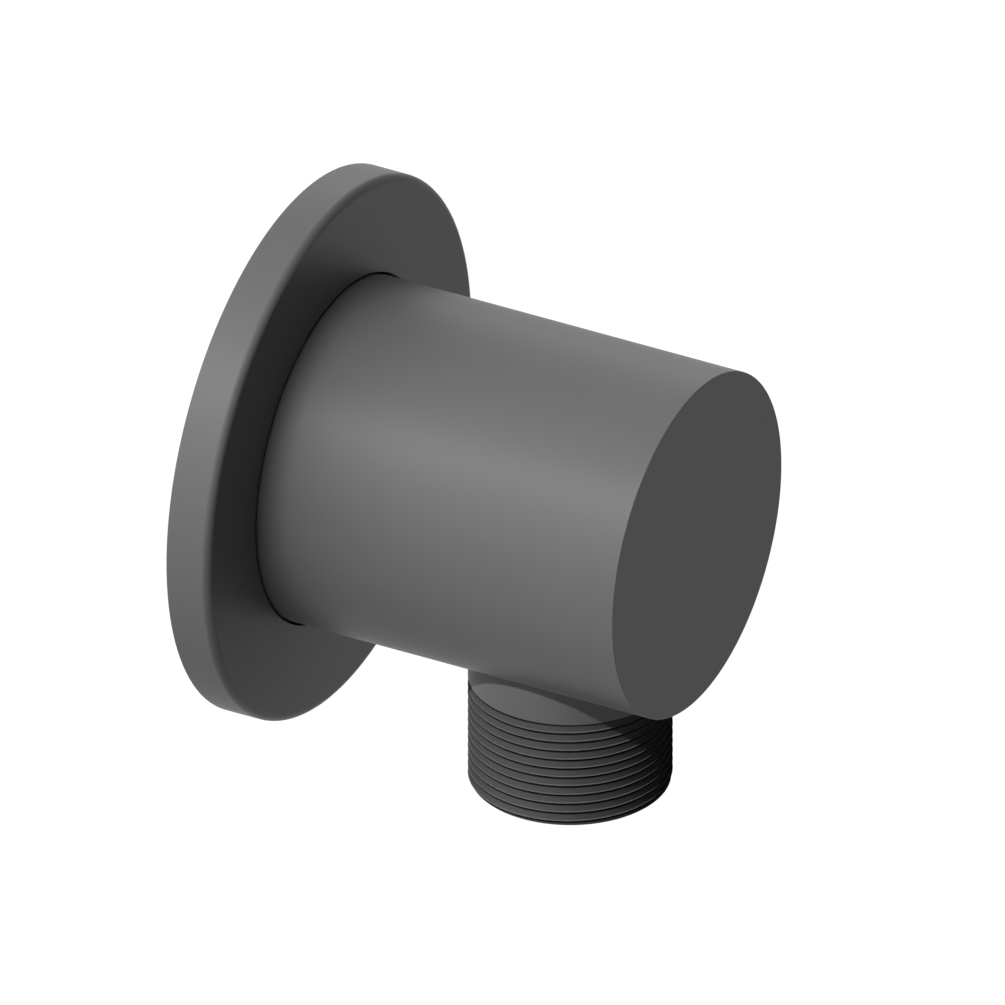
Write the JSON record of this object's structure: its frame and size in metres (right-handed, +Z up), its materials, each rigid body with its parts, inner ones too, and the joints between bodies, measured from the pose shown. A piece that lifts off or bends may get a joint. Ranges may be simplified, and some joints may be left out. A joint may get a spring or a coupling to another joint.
{
  "type": "wall outlet elbow",
  "caption": "Round wall outlet elbow for a shower hose: a bored cylinder with a blind threaded inlet at the wall, a cover flange and a threaded hose outlet pointing down.",
  "frame": {"origin": "where the body's axis meets the wall, in the plane of the flange's back rim", "axes": "+Y along the body's axis into the wall, so the closed end faces -Y; +Z up, with the hose outlet pointing down along -Z; +X to the right as seen from the room"},
  "size_m": [0.0578, 0.0461, 0.0601],
  "materials": {
    "gunmetal_coat": "satin",
    "seal_rubber": "matte"
  },
  "bodies": {
    "root": {"elbow_body": "gunmetal_coat", "outlet_nipple": "gunmetal_coat", "wall_flange": "gunmetal_coat", "neck_o_ring": "seal_rubber", "flange_o_ring": "seal_rubber"}
  },
  "joints": []
}
